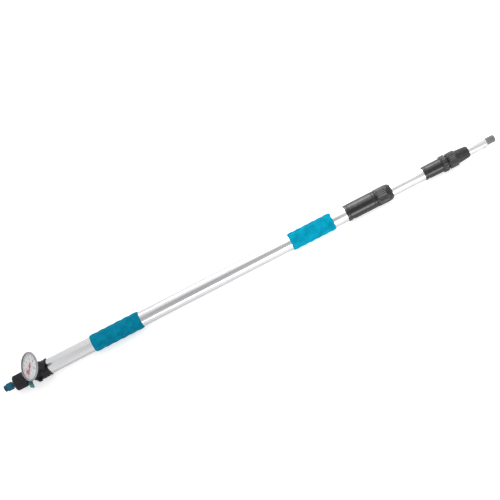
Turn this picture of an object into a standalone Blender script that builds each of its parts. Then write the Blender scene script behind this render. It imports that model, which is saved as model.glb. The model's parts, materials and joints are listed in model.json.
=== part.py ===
"""Telescopic water-fed washing pole: a hose plug, a ball valve with a wing knob, a
pressure gauge, three telescoping tubes, two foam grips and two twist clamps.

Every piece is a separate object. Lengths in the tables are in millimetres. A place
along the pole is its distance from the hose end; the pole's axis is the local X axis
of the empty "pole_axis". World Z is up and world Y runs across the pole.
"""
import math

import bmesh
import bpy
from mathutils import Matrix, Vector

MM = 0.001
GAP = 0.3                      # clearance between neighbours
ROUND_SIDES = 24               # facets round the tubes and housings
GRIP_SIDES = 24                # the grips and the pieces inside the tubes
SMALL_SIDES = 16
PIN_SIDES = 8

# Driving dimensions, in millimetres.
POLE_LENGTH = 1240.0
FOOT_CENTRE = 90.0             # the row's origin lies here along the pole
GRIP_RADIUS = 20.75
AXIS_HEIGHT = GRIP_RADIUS * math.cos(math.pi / GRIP_SIDES)

OUTER_TUBE = {"start": 100.3, "end": 905.0, "radius": 17.5, "bore": 16.0}
MID_TUBE = {"start": 162.3, "end": 1098.0, "radius": 14.5, "bore": 13.3}
INNER_TUBE = {"start": 200.3, "end": 1218.0, "radius": 11.5, "bore": 10.3}

LOWER_GRIP = (223.5, 345.0)
UPPER_GRIP = (724.1, 830.7)
GRIP_WAVES = 6
GRIP_WAVE_DEPTH = 0.7

BALL_CENTRE = 60.0
BALL_RADIUS = 9.0
BALL_BORE = 5.0
CHAMBER_RADIUS = 9.6
WATERWAY_RADIUS = 7.0
SPINDLE_PAD = 12.1             # flat on the housing's side that the knob turns on
KNOB_END = 25.3
WING_START = 18.7              # the wings pass over the union nut
WING_HALF_LENGTH = 12.0

GAUGE_CENTRE = (81.7, 52.0)    # middle of the bezel's front, along and above the axis
GAUGE_TILT = math.radians(40.0)
GAUGE_RADIUS = 33.0
GAUGE_STEM_RADIUS = 4.7
SECTOR_PIVOT = 14.0            # from the pointer's axis
SECTOR_REST = math.radians(22.5)
PINION_RADIUS = 1.9
POINTER_REST = math.radians(225.0)   # clockwise from the face's top, which is +Y

DRAIN_PLUG = 83.5
LOWER_RIVETS = 875.0
UPPER_RIVETS = 1068.0
FITTING_RIVETS = 1209.0
SOCKET_SCREWS = 110.0
RIVET_RADIUS = 1.4
RIVET_HOLE = 1.75

MATERIALS = {                  # colour, roughness, metallic
    "aluminium": ((0.78, 0.79, 0.80), 0.30, 1.0),
    "black_plastic": ((0.035, 0.034, 0.038), 0.45, 0.0),
    "clamp_plastic": ((0.050, 0.050, 0.058), 0.38, 0.0),
    "teal_plastic": ((0.03, 0.24, 0.32), 0.40, 0.0),
    "grip_foam": ((0.0, 0.36, 0.50), 0.85, 0.0),
    "rubber": ((0.03, 0.03, 0.03), 0.75, 0.0),
    "white_plastic": ((0.85, 0.84, 0.80), 0.50, 0.0),
    "fitting_plastic": ((0.15, 0.15, 0.155), 0.45, 0.0),
    "brass": ((0.72, 0.53, 0.25), 0.35, 1.0),
    "steel": ((0.62, 0.62, 0.63), 0.30, 1.0),
    "gauge_case": ((0.32, 0.33, 0.35), 0.40, 0.0),
    "gauge_face": ((0.85, 0.86, 0.87), 0.55, 0.0),
    "gauge_lens": ((0.90, 0.93, 0.95), 0.05, 0.0),
    "pointer_red": ((0.70, 0.03, 0.03), 0.45, 0.0),
}


def clear_scene():
    """Remove whatever the file holds before the pieces are made."""
    for thing in list(bpy.data.objects):
        bpy.data.objects.remove(thing, do_unlink=True)


def make_materials():
    """One Principled material for each entry of the table."""
    made = {}
    for name, (colour, roughness, metallic) in MATERIALS.items():
        material = bpy.data.materials.new(name)
        material.use_nodes = True
        shader = material.node_tree.nodes["Principled BSDF"]
        shader.inputs["Base Color"].default_value = (*colour, 1.0)
        shader.inputs["Roughness"].default_value = roughness
        shader.inputs["Metallic"].default_value = metallic
        made[name] = material
    return made


def make_empty(name, parent=None, matrix=None):
    """An empty that carries the pieces on one axis."""
    empty = bpy.data.objects.new(name, None)
    bpy.context.collection.objects.link(empty)
    empty.parent = parent
    if matrix is not None:
        empty.matrix_local = matrix
    return empty


def add_object(name, mesh_data, material, parent):
    """Write a bmesh out as a named object with its faces pointing outwards."""
    bmesh.ops.recalc_face_normals(mesh_data, faces=mesh_data.faces)
    mesh = bpy.data.meshes.new(name)
    mesh_data.to_mesh(mesh)
    mesh_data.free()
    mesh.shade_smooth()
    mesh.set_sharp_from_angle(angle=math.radians(35.0))
    piece = bpy.data.objects.new(name, mesh)
    bpy.context.collection.objects.link(piece)
    piece.parent = parent
    if material is not None:
        mesh.materials.append(material)
    return piece


def turned(name, profile, material, parent, sides=ROUND_SIDES, rib=None, opening=0.0):
    """Turn a closed (along, radius) outline about the local X axis.

    A flat side faces down (-Z). rib is (least radius, depth): every second row of
    points at or beyond that radius lies lower, which makes grip ribs. opening is the
    angle in degrees of a slit, centred on the far side (+Y).
    """
    mesh_data = bmesh.new()
    slit = math.radians(opening)
    rows = sides + 1 if slit else sides
    first = math.pi / 2 + slit / 2 if slit else math.pi / sides
    step = (2 * math.pi - slit) / sides
    rings = []
    for row in range(rows):
        angle = first + row * step
        ring = []
        for along, radius in profile:
            if rib and radius >= rib[0] and row % 2:
                radius -= rib[1]
            point = (along, radius * math.sin(angle), -radius * math.cos(angle))
            ring.append(mesh_data.verts.new(Vector(point) * MM))
        rings.append(ring)
    count = len(profile)
    for row in range(rows - 1 if slit else rows):
        here, there = rings[row], rings[(row + 1) % rows]
        for i in range(count):
            j = (i + 1) % count
            mesh_data.faces.new((here[i], here[j], there[j], there[i]))
    if slit:
        mesh_data.faces.new(rings[0])
        mesh_data.faces.new(rings[-1])
    bmesh.ops.dissolve_degenerate(mesh_data, dist=1e-7, edges=mesh_data.edges)
    return add_object(name, mesh_data, material, parent)


def pin(name, profile, material, parent, matrix, sides=PIN_SIDES):
    """A solid turned piece whose (along, radius) outline starts and ends on its axis.

    An end that is flat is one round face, and an end that isn't is a cone's tip.
    """
    mesh_data = bmesh.new()
    rings = []
    for along, radius in profile:
        ring = []
        for side in range(sides if radius else 1):
            angle = 2 * math.pi * (side + 0.5) / sides
            point = (along, radius * math.sin(angle), -radius * math.cos(angle))
            ring.append(mesh_data.verts.new(Vector(point) * MM))
        rings.append(ring)
    for tip, rim in ((0, 1), (-1, -2)):
        if profile[tip][0] == profile[rim][0]:
            mesh_data.faces.new(rings[rim])
            mesh_data.verts.remove(rings[tip][0])
            rings[tip] = []
    for here, there in zip(rings, rings[1:]):
        if not here or not there:
            continue
        for side in range(sides):
            after = (side + 1) % sides
            if len(here) == 1:
                mesh_data.faces.new((here[0], there[after], there[side]))
            elif len(there) == 1:
                mesh_data.faces.new((here[side], here[after], there[0]))
            else:
                mesh_data.faces.new((here[side], here[after], there[after], there[side]))
    piece = add_object(name, mesh_data, material, parent)
    piece.matrix_local = matrix
    return piece


def block(name, low, high, material, parent, matrix=None, chamfer=0.0):
    """A box from its lowest to its highest corner, with its edges chamfered."""
    mesh_data = bmesh.new()
    bmesh.ops.create_cube(mesh_data, size=1.0)
    for vert in mesh_data.verts:
        for axis in range(3):
            middle = (low[axis] + high[axis]) / 2
            vert.co[axis] = (middle + vert.co[axis] * (high[axis] - low[axis])) * MM
    if chamfer:
        bmesh.ops.bevel(mesh_data, geom=mesh_data.edges[:], offset=chamfer * MM,
                        segments=1, affect="EDGES")
    piece = add_object(name, mesh_data, material, parent)
    if matrix is not None:
        piece.matrix_local = matrix
    return piece


def plate(name, outline, low, high, material, parent, matrix=None):
    """Extrude a closed (y, z) outline along local X, from low to high."""
    mesh_data = bmesh.new()
    verts = [mesh_data.verts.new(Vector((low, y, z)) * MM) for y, z in outline]
    face = mesh_data.faces.new(verts)
    made = bmesh.ops.extrude_face_region(mesh_data, geom=[face])
    moved = [item for item in made["geom"] if isinstance(item, bmesh.types.BMVert)]
    bmesh.ops.translate(mesh_data, verts=moved, vec=((high - low) * MM, 0.0, 0.0))
    piece = add_object(name, mesh_data, material, parent)
    if matrix is not None:
        piece.matrix_local = matrix
    return piece


def combine(piece, tool, operation):
    """Join or cut a piece with a tool object that isn't part of the model."""
    tool.hide_render = True
    tool.display_type = "WIRE"
    modifier = piece.modifiers.new(tool.name, "BOOLEAN")
    modifier.operation = operation
    modifier.solver = "EXACT"
    modifier.object = tool


def cut(piece, tool):
    combine(piece, tool, "DIFFERENCE")


def fuse(piece, tool):
    combine(piece, tool, "UNION")


def across(along, side=-1):
    """Matrix whose local X points out of the pole's side: -Y for side -1, +Y for 1."""
    return (Matrix.Translation((along * MM, 0.0, 0.0))
            @ Matrix.Rotation(side * math.pi / 2, 4, "Z"))


def rod(low, high, radius):
    """Outline of a plain solid round bar along its own axis."""
    return [(low, 0.0), (low, radius), (high, radius), (high, 0.0)]


def hollow(low, high, bore, radius):
    """Outline of a plain tube or ring."""
    return [(low, bore), (low, radius), (high, radius), (high, bore)]


def seal_ring(middle, width, bore, radius):
    """Six-sided outline of a rubber ring."""
    half = width / 2
    centre = (bore + radius) / 2
    return [
        (middle - half, centre), (middle - half * 0.5, radius),
        (middle + half * 0.5, radius), (middle + half, centre),
        (middle + half * 0.5, bore), (middle - half * 0.5, bore),
    ]


def build_inlet(colour, pole):
    """Hose plug, its seals, the union nut and the strainer."""
    plug_profile = [
        (0.0, 4.5), (0.0, 6.9), (0.8, 7.5), (2.6, 7.5), (2.6, 6.0), (5.2, 6.0),
        (5.2, 7.5), (7.0, 7.5), (7.0, 9.0), (7.8, 9.5), (19.2, 9.5), (20.0, 9.0),
        (20.0, 6.75), (29.4, 6.75), (29.4, 13.0), (33.4, 13.0), (33.4, 4.5),
    ]
    turned("hose_plug", plug_profile, colour["teal_plastic"], pole, SMALL_SIDES)
    turned("plug_o_ring", seal_ring(3.9, 2.0, 6.3, 7.65), colour["rubber"], pole,
           SMALL_SIDES)
    turned("plug_washer", hollow(33.7, 35.7, 7.0, 12.75), colour["rubber"], pole,
           SMALL_SIDES)
    nut_profile = [
        (25.7, 7.2), (25.7, 16.6), (27.2, 18.0), (52.6, 18.0), (53.8, 17.0),
        (53.8, 13.5), (29.1, 13.5), (29.1, 7.2),
    ]
    turned("union_nut", nut_profile, colour["black_plastic"], pole, rib=(17.5, 0.9))
    strainer_profile = [
        (36.4, 5.6), (36.4, 7.6), (37.4, 7.6), (37.4, 6.9), (46.5, 5.2), (46.5, 1.5),
        (45.6, 1.5), (45.6, 4.3), (37.2, 5.6),
    ]
    turned("inlet_strainer", strainer_profile, colour["steel"], pole, SMALL_SIDES)


def build_housing(colour, pole, gauge):
    """Valve housing with its waterway, tube socket, flat foot and gauge boss."""
    slot_start, spigot_end, spigot_radius = 100.0, 138.0, 15.6
    slot_outer = OUTER_TUBE["radius"] + GAP
    profile = [
        (36.0, 0.0), (36.0, 12.6), (36.8, 13.2), (54.0, 13.2), (54.0, 12.0),
        (69.8, 12.0), (72.0, 15.0), (92.6, 17.8), (93.2, 20.5), (96.8, 20.5),
        (97.4, 18.9), (106.4, 18.9), (107.4, 20.5), (112.4, 20.5), (113.0, 20.1),
        (113.0, slot_outer), (slot_start, slot_outer), (slot_start, spigot_radius),
        (117.6, spigot_radius), (117.6, 14.2), (120.4, 14.2), (120.4, spigot_radius),
        (127.6, spigot_radius), (127.6, 14.2), (130.4, 14.2), (130.4, spigot_radius),
        (spigot_end, spigot_radius), (spigot_end, 0.0),
    ]
    straight = Matrix.Identity(4)
    housing = pin("valve_housing", profile, colour["black_plastic"], pole, straight,
                  ROUND_SIDES)
    scallop(housing.data, edge_start=112.0, least_radius=slot_outer - 0.1, depth=4.0)
    fuse(housing, block("housing_foot", (72.5, -13.0, -AXIS_HEIGHT),
                        (99.6, 13.0, -9.0), None, pole, chamfer=1.2))
    fuse(housing, block("foot_toe", (96.0, -8.0, -AXIS_HEIGHT),
                        (107.0, 8.0, -slot_outer - 0.4), None, pole))
    fuse(housing, pin("spindle_boss", rod(3.0, SPINDLE_PAD, 7.0), None, pole,
                      across(BALL_CENTRE), SMALL_SIDES))
    fuse(housing, pin("drain_boss", rod(9.0, 17.9, 6.6), None, pole, across(DRAIN_PLUG),
                      SMALL_SIDES))
    fuse(housing, block("boss_pillar", (86.0, -7.0, 9.0), (99.6, 7.0, 30.0), None, pole,
                        chamfer=1.0))
    fuse(housing, pin("gauge_boss", rod(19.3, 36.0, 9.0), None, gauge, straight,
                      SMALL_SIDES))
    waterway = [(30.0, 0.0), (30.0, CHAMBER_RADIUS), (69.5, CHAMBER_RADIUS),
                (69.5, WATERWAY_RADIUS), (145.0, WATERWAY_RADIUS), (145.0, 0.0)]
    cut(housing, pin("waterway", waterway, None, pole, straight, SMALL_SIDES))
    cut(housing, pin("gauge_socket", rod(18.0, 29.6, GAUGE_STEM_RADIUS + GAP), None,
                     gauge, straight, SMALL_SIDES))
    upwards = Matrix.Translation((0.098, 0.0, 0.0)) @ Matrix.Rotation(-math.pi / 2, 4, "Y")
    cut(housing, pin("gauge_passage", rod(3.0, 31.0, 1.2), None, pole, upwards))
    cut(housing, pin("spindle_hole", rod(7.0, 16.0, 3.6), None, pole,
                     across(BALL_CENTRE), PIN_SIDES))
    cut(housing, pin("drain_hole", rod(5.0, 20.0, 3.9), None, pole, across(DRAIN_PLUG),
                     PIN_SIDES))
    drain = [(9.5, 0.0), (9.5, 3.5), (18.2, 3.5), (18.2, 5.4), (21.9, 5.4), (22.5, 4.7),
             (22.5, 0.0)]
    pin("drain_plug", drain, colour["black_plastic"], pole, across(DRAIN_PLUG), 6)

    for side, label in ((-1, "near"), (1, "far")):
        cut(housing, pin(f"socket_screw_hole_{label}", rod(13.0, 24.0, RIVET_HOLE), None,
                         pole, across(SOCKET_SCREWS, side)))
        screw_profile = [(13.3, 0.0), (13.3, RIVET_RADIUS), (20.9, RIVET_RADIUS),
                         (20.9, 2.6), (21.6, 2.6), (22.2, 1.8), (22.2, 0.0)]
        pin(f"tube_screw_{label}", screw_profile, colour["steel"], pole,
            across(SOCKET_SCREWS, side))
    for middle, label in ((119.0, "front"), (129.0, "rear")):
        turned(f"tube_o_ring_{label}", seal_ring(middle, 2.2, 14.5, 15.75),
               colour["rubber"], pole, SMALL_SIDES)


def scallop(mesh, edge_start, least_radius, depth):
    """Draw the socket's rim back above and below, which leaves an ear on each side."""
    for vert in mesh.vertices:
        along, y, z = (value / MM for value in vert.co)
        radius = math.hypot(y, z)
        if along > edge_start and along < 114.0 and radius > least_radius:
            vert.co.x -= depth * MM * (z / radius) ** 4


def build_valve(colour, pole, knob):
    """Ball, seats and retainer on the pole's axis; spindle and knob on the side."""
    retainer = [
        (36.3, 8.0), (36.3, 9.3), (50.5, 9.3), (50.5, 5.5), (48.0, 5.5), (48.0, 8.0),
    ]
    turned("seat_retainer", retainer, colour["black_plastic"], pole, SMALL_SIDES)
    seat = [(-9.2, 5.5), (-7.7, 5.5), (-5.0, 8.0), (-5.0, 9.2), (-9.2, 9.2)]
    for side, label in ((1, "inlet"), (-1, "outlet")):
        profile = [(BALL_CENTRE + side * along, radius) for along, radius in seat]
        turned(f"ball_seat_{label}", profile, colour["white_plastic"], pole, SMALL_SIDES)

    steps = 12
    arc = [(-BALL_RADIUS * math.cos(math.pi * i / steps),
            BALL_RADIUS * math.sin(math.pi * i / steps)) for i in range(1, steps)]
    ball_profile = [(-BALL_RADIUS, 0.0), *arc, (BALL_RADIUS, 0.0)]
    ball = pin("valve_ball", ball_profile, colour["brass"], knob, Matrix.Identity(4),
               SMALL_SIDES)
    upright = Matrix.Rotation(math.pi / 2, 4, "Y")
    cut(ball, pin("ball_bore", rod(-12.0, 12.0, BALL_BORE), None, knob, upright,
                  SMALL_SIDES))
    cut(ball, block("ball_slot", (6.2, -1.6, -10.0), (10.0, 1.6, 10.0), None, knob))

    spindle_profile = [
        (8.9, 0.0), (8.9, 3.2), (10.1, 3.2), (10.1, 2.4), (11.5, 2.4), (11.5, 3.2),
        (12.3, 3.2), (12.3, 2.6), (18.0, 2.6), (18.0, 1.5), (13.4, 1.5), (13.4, 0.0),
    ]
    spindle = pin("valve_spindle", spindle_profile, colour["brass"], knob,
                  Matrix.Identity(4), PIN_SIDES)
    fuse(spindle, block("spindle_tang", (6.5, -1.2, -2.6), (9.5, 1.2, 2.6), None, knob))
    turned("spindle_o_ring", seal_ring(10.8, 1.0, 2.6, 3.35), colour["rubber"], knob,
           SMALL_SIDES)

    knob_profile = [
        (12.5, 2.95), (12.5, 4.7), (KNOB_END - 1.0, 4.7), (KNOB_END, 4.1),
        (KNOB_END, 3.2), (22.6, 3.2), (22.6, 1.55), (18.5, 1.55), (18.5, 2.95),
    ]
    wing_knob = turned("valve_knob", knob_profile, colour["teal_plastic"], knob,
                       SMALL_SIDES)
    for side, label in ((-1, "low"), (1, "high")):
        wing = [(-3.3, side * 4.0), (3.3, side * 4.0), (2.3, side * WING_HALF_LENGTH),
                (-2.3, side * WING_HALF_LENGTH)]
        fuse(wing_knob, plate(f"knob_wing_{label}", wing, WING_START, KNOB_END - 0.6,
                              None, knob))
    screw = [(13.8, 0.0), (13.8, 1.2), (22.9, 1.2), (22.9, 2.8), (24.0, 2.8),
             (24.6, 2.0), (24.6, 0.0)]
    pin("knob_screw", screw, colour["steel"], knob, Matrix.Identity(4))


def build_gauge(colour, gauge, pointer):
    """Round pressure gauge; local X runs from its front into its case."""
    bezel = [
        (0.0, 29.8), (0.0, 32.3), (0.7, GAUGE_RADIUS), (3.2, GAUGE_RADIUS), (3.2, 32.0),
        (0.9, 32.0), (0.9, 29.8),
    ]
    turned("gauge_bezel", bezel, colour["gauge_case"], gauge)
    pin("gauge_lens", rod(1.2, 2.0, 31.7), colour["gauge_lens"], gauge,
        Matrix.Identity(4), ROUND_SIDES)
    case_profile = [
        (2.3, 30.5), (2.3, 31.7), (4.4, 31.2), (9.6, 20.5), (10.6, 10.0), (15.0, 9.4),
        (15.0, 3.4), (8.8, 3.4), (8.8, 19.0), (4.4, 28.6), (4.2, 30.5),
    ]
    case = turned("gauge_case", case_profile, colour["gauge_case"], gauge)
    post = Matrix.Translation((0.0, -SECTOR_PIVOT * MM, 0.0))
    fuse(case, pin("sector_post", rod(4.7, 9.2, 1.1), None, gauge, post))
    turned("gauge_face", hollow(3.45, 3.9, 1.6, 30.1), colour["gauge_face"], gauge)
    stem = [
        (9.0, 1.3), (9.0, 3.0), (15.3, 3.0), (15.3, 6.5), (18.9, 6.5),
        (18.9, GAUGE_STEM_RADIUS), (28.6, GAUGE_STEM_RADIUS), (29.2, 4.1), (29.2, 1.3),
    ]
    turned("gauge_stem", stem, colour["brass"], gauge, PIN_SIDES)
    capsule = [
        (6.7, 0.0), (6.7, 11.4), (8.4, 11.4), (8.4, 1.3), (7.9, 1.3), (7.9, 10.6),
        (7.2, 10.6), (7.2, 0.0),
    ]
    pin("gauge_capsule", capsule, colour["brass"], gauge, Matrix.Identity(4),
        SMALL_SIDES)
    arbor = [(3.3, 0.0), (3.3, 1.1), (4.9, 1.1), (4.9, PINION_RADIUS),
             (6.0, PINION_RADIUS), (6.0, 1.1), (6.4, 1.1), (6.4, 0.0)]
    pin("pointer_arbor", arbor, colour["brass"], pointer, Matrix.Identity(4))
    hand = plate("gauge_pointer", [(-2.4, -8.0), (2.4, -8.0), (1.5, 17.0), (0.0, 22.0),
                                   (-1.5, 17.0)], 2.4, 3.0, colour["pointer_red"], pointer)
    fuse(hand, pin("pointer_hub", rod(2.3, 3.0, 4.0), None, pointer, Matrix.Identity(4),
                   SMALL_SIDES))


def build_sector(colour, sector):
    """Toothed fan that turns the pinion; local X runs as on the gauge."""
    reach = SECTOR_PIVOT - PINION_RADIUS - GAP
    half_angle, teeth = math.radians(29.0), 18
    outline = [(-2.6, -2.2), (-2.6, 2.2)]
    for tooth in range(teeth + 1):
        angle = half_angle - 2 * half_angle * tooth / teeth
        radius = reach if tooth % 2 else reach - 0.5
        outline.append((radius * math.cos(angle), radius * math.sin(angle)))
    fan = plate("gauge_sector", outline, 4.95, 5.85, colour["brass"], sector)
    cut(fan, pin("sector_hole", rod(4.0, 7.0, 1.5), None, sector, Matrix.Identity(4)))


def tube(name, size, material, parent):
    """One aluminium tube from its table of sizes."""
    return turned(name, hollow(size["start"], size["end"], size["bore"], size["radius"]),
                  material, parent)


def grip(name, span, material, parent):
    """Foam sleeve with shallow waves along its length and rounded ends."""
    start, end = span
    bore = OUTER_TUBE["radius"] + GAP
    valley = GRIP_RADIUS - GRIP_WAVE_DEPTH
    profile = [(start, bore), (start, 19.3), (start + 1.5, valley)]
    pitch = (end - start) / GRIP_WAVES
    for wave in range(GRIP_WAVES):
        profile.append((start + (wave + 0.5) * pitch, GRIP_RADIUS))
        if wave < GRIP_WAVES - 1:
            profile.append((start + (wave + 1) * pitch, valley))
    profile += [(end - 1.5, valley), (end, 19.3), (end, bore)]
    turned(name, profile, material, parent, GRIP_SIDES)


def rivets(prefix, along, shank_start, head_start, holed, colour, pole):
    """Two rivets through the sides, and the holes that they need."""
    for side, label in ((-1, "near"), (1, "far")):
        matrix = across(along, side)
        for piece in holed:
            cut(piece, pin(f"{prefix}_hole_{label}_{piece.name}",
                           rod(shank_start - 0.8, head_start + 8.0, RIVET_HOLE), None,
                           pole, matrix))
        profile = [
            (shank_start, 0.0), (shank_start, RIVET_RADIUS), (head_start, RIVET_RADIUS),
            (head_start, 2.5), (head_start + 0.4, 2.3), (head_start + 0.8, 1.2),
            (head_start + 0.8, 0.0),
        ]
        pin(f"{prefix}_rivet_{label}", profile, colour["steel"], pole, matrix)


def build_clamp(prefix, parts, colour, pole):
    """One twist clamp: fixed sleeve, split collet, thrust ring, collar and wiper."""
    clamp = colour["clamp_plastic"]
    sleeve = turned(f"{prefix}_clamp_sleeve", parts["sleeve"], clamp, pole)
    turned(f"{prefix}_collet", parts["collet"], colour["white_plastic"], pole,
           GRIP_SIDES, opening=8.0)
    turned(f"{prefix}_thrust_ring", parts["thrust"], colour["steel"], pole, GRIP_SIDES)
    turned(f"{prefix}_collar", parts["collar"], clamp, pole, rib=parts["rib"])
    turned(f"{prefix}_wiper", parts["wiper"], colour["rubber"], pole, GRIP_SIDES)
    return sleeve


LOWER_CLAMP = {
    "sleeve": [
        (864.1, 17.8), (864.1, 18.6), (865.0, 19.2), (937.4, 19.2), (938.0, 18.7),
        (938.0, 17.3), (958.0, 17.3), (958.0, 16.8), (948.0, 14.8), (905.3, 14.8),
        (905.3, 17.8),
    ],
    "collet": [
        (951.0, 14.75), (951.0, 15.05), (958.0, 16.45), (958.3, 16.8), (968.0, 16.8),
        (968.0, 14.75),
    ],
    "thrust": hollow(968.4, 971.0, 14.8, 17.0),
    "collar": [
        (939.6, 17.6), (939.6, 19.0), (940.4, 19.75), (968.0, 19.75), (974.0, 18.6),
        (977.6, 16.8), (979.0, 15.5), (979.0, 14.95), (976.8, 14.95), (976.8, 16.2),
        (973.7, 16.2), (973.7, 14.95), (971.4, 14.95), (971.4, 17.6),
    ],
    "rib": (19.5, 0.7),
    "wiper": hollow(974.0, 976.5, 14.75, 15.9),
}

UPPER_CLAMP = {
    "sleeve": [
        (1060.5, 14.8), (1060.5, 15.4), (1061.3, 16.0), (1105.4, 16.0), (1106.0, 19.5),
        (1117.3, 19.5), (1117.9, 19.0), (1117.9, 14.7), (1140.0, 14.7), (1140.0, 13.8),
        (1131.0, 11.8), (1098.3, 11.8), (1098.3, 14.8),
    ],
    "collet": [
        (1133.5, 11.75), (1133.5, 12.05), (1140.0, 13.45), (1148.0, 13.45),
        (1148.0, 11.75),
    ],
    "thrust": hollow(1148.4, 1150.2, 11.8, 13.55),
    "collar": [
        (1121.5, 15.0), (1121.5, 17.8), (1122.3, 18.5), (1142.2, 18.5), (1142.9, 17.8),
        (1142.9, 15.6), (1152.0, 15.1), (1165.0, 14.0), (1171.5, 13.1), (1173.4, 12.4),
        (1173.4, 11.95), (1168.8, 11.95), (1168.8, 12.9), (1165.7, 12.9),
        (1165.7, 11.95), (1150.6, 11.95), (1150.6, 13.9), (1140.7, 13.9),
        (1140.7, 15.0),
    ],
    "rib": (18.2, 0.7),
    "wiper": hollow(1166.0, 1168.5, 11.75, 12.6),
}


def build_pole(colour, pole):
    """Tubes, grips, clamps, pistons and the brush fitting."""
    outer = tube("outer_tube", OUTER_TUBE, colour["aluminium"], pole)
    mid = tube("mid_tube", MID_TUBE, colour["aluminium"], pole)
    inner = tube("inner_tube", INNER_TUBE, colour["aluminium"], pole)
    grip("lower_grip", LOWER_GRIP, colour["grip_foam"], pole)
    grip("upper_grip", UPPER_GRIP, colour["grip_foam"], pole)
    for side, label in ((-1, "near"), (1, "far")):
        cut(outer, pin(f"tube_screw_clearance_{label}", rod(13.0, 20.0, RIVET_HOLE), None,
                       pole, across(SOCKET_SCREWS, side)))

    lower = build_clamp("lower", LOWER_CLAMP, colour, pole)
    rivets("lower", LOWER_RIVETS, 16.1, 19.4, (outer, lower), colour, pole)
    upper = build_clamp("upper", UPPER_CLAMP, colour, pole)
    rivets("upper", UPPER_RIVETS, 13.4, 16.2, (mid, upper), colour, pole)

    mid_piston = [
        (146.0, 9.0), (146.0, 15.0), (146.7, 15.65), (151.4, 15.65), (151.4, 13.4),
        (156.6, 13.4), (156.6, 15.65), (162.0, 15.65), (162.0, 13.0), (183.2, 13.0),
        (184.0, 12.2), (184.0, 9.0),
    ]
    turned("mid_piston", mid_piston, colour["white_plastic"], pole, GRIP_SIDES)
    turned("mid_piston_seal", hollow(152.0, 156.0, 13.7, 15.8), colour["rubber"], pole,
           GRIP_SIDES)
    inner_piston = [
        (186.0, 6.5), (186.0, 12.4), (186.6, 12.95), (190.8, 12.95), (190.8, 10.9),
        (195.6, 10.9), (195.6, 12.95), (200.0, 12.95), (200.0, 10.0), (217.2, 10.0),
        (218.0, 9.2), (218.0, 6.5),
    ]
    turned("inner_piston", inner_piston, colour["white_plastic"], pole, GRIP_SIDES)
    turned("inner_piston_seal", hollow(191.3, 195.1, 11.2, 13.1), colour["rubber"],
           pole, GRIP_SIDES)

    fitting = [
        (1195.0, 5.0), (1195.0, 9.4), (1195.6, 10.0), (1200.0, 10.0), (1200.0, 8.5),
        (1203.0, 8.5), (1203.0, 10.0), (1217.8, 10.0), (1217.8, 8.6), (1236.6, 8.6),
        (1238.9, 7.9), (POLE_LENGTH, 6.7), (POLE_LENGTH, 5.0),
    ]
    brush_fitting = turned("brush_fitting", fitting, colour["fitting_plastic"], pole,
                           GRIP_SIDES)
    turned("fitting_o_ring", seal_ring(1201.5, 2.2, 8.8, 10.12), colour["rubber"], pole,
           SMALL_SIDES)
    rivets("fitting", FITTING_RIVETS, 8.0, 11.7, (inner, brush_fitting), colour, pole)


def main():
    clear_scene()
    colour = make_materials()
    to_world = Matrix.Translation((-FOOT_CENTRE * MM, 0.0, AXIS_HEIGHT * MM))
    pole = make_empty("pole_axis", matrix=to_world)
    knob = make_empty("knob_axis", pole, across(BALL_CENTRE))
    along, height = GAUGE_CENTRE
    gauge_matrix = (Matrix.Translation((along * MM, 0.0, height * MM))
                    @ Matrix.Rotation(math.pi / 2 - GAUGE_TILT, 4, "Y"))
    gauge = make_empty("gauge_axis", pole, gauge_matrix)
    pointer = make_empty("pointer_axis", gauge,
                         Matrix.Rotation(POINTER_REST - math.pi / 2, 4, "X"))
    sector = make_empty("sector_axis", gauge,
                        Matrix.Translation((0.0, -SECTOR_PIVOT * MM, 0.0))
                        @ Matrix.Rotation(SECTOR_REST, 4, "X"))
    bpy.context.view_layer.update()
    build_inlet(colour, pole)
    build_housing(colour, pole, gauge)
    build_valve(colour, pole, knob)
    build_gauge(colour, gauge, pointer)
    build_sector(colour, sector)
    build_pole(colour, pole)


main()
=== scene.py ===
"""Looks of the telescopic water-fed washing pole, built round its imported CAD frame.

Lengths in the outlines are millimetres, and the studio's are metres. A place along the
pole is its distance from the hose end. Each turned piece is made about its own axis and
put in place by a matrix that comes from the frame's boxes.
"""
import json
import math

import bmesh
import bpy
from mathutils import Matrix, Vector


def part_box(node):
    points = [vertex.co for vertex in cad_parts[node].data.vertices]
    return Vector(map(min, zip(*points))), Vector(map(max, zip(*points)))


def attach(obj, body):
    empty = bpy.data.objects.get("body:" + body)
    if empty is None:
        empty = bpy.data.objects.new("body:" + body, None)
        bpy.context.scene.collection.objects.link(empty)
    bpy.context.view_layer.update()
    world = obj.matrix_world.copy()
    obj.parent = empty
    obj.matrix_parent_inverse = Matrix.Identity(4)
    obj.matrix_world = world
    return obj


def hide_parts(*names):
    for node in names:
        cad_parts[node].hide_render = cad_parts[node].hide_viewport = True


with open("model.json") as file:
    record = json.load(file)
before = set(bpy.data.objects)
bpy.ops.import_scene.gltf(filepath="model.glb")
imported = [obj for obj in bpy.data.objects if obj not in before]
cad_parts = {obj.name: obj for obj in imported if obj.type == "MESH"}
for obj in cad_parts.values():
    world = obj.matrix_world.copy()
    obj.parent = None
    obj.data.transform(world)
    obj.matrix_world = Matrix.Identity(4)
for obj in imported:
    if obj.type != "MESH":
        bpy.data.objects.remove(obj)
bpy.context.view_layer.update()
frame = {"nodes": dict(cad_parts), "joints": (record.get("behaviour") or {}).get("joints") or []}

MM = 0.001
CAD_SIDES = 24                 # facets of the CAD's turned pieces
ROUND = 96                     # facets of a turned piece here
FINE = 240                     # facets of a ribbed piece
SHARP_ANGLE = math.radians(32.0)   # edges that turn more than this stay sharp
WELD = 2e-6                    # metres within which a cut piece's points are joined
CHAMBER_RADIUS, WATERWAY_RADIUS = 9.6, 7.0
RIVET_HOLE = 1.75              # radius of the holes for rivets and for the tube's screws

# ---------------------------------------------------------------- places from the frame


def middle(node):
    """Middle of a node's box, in metres."""
    low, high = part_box(node)
    return (low + high) / 2


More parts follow.
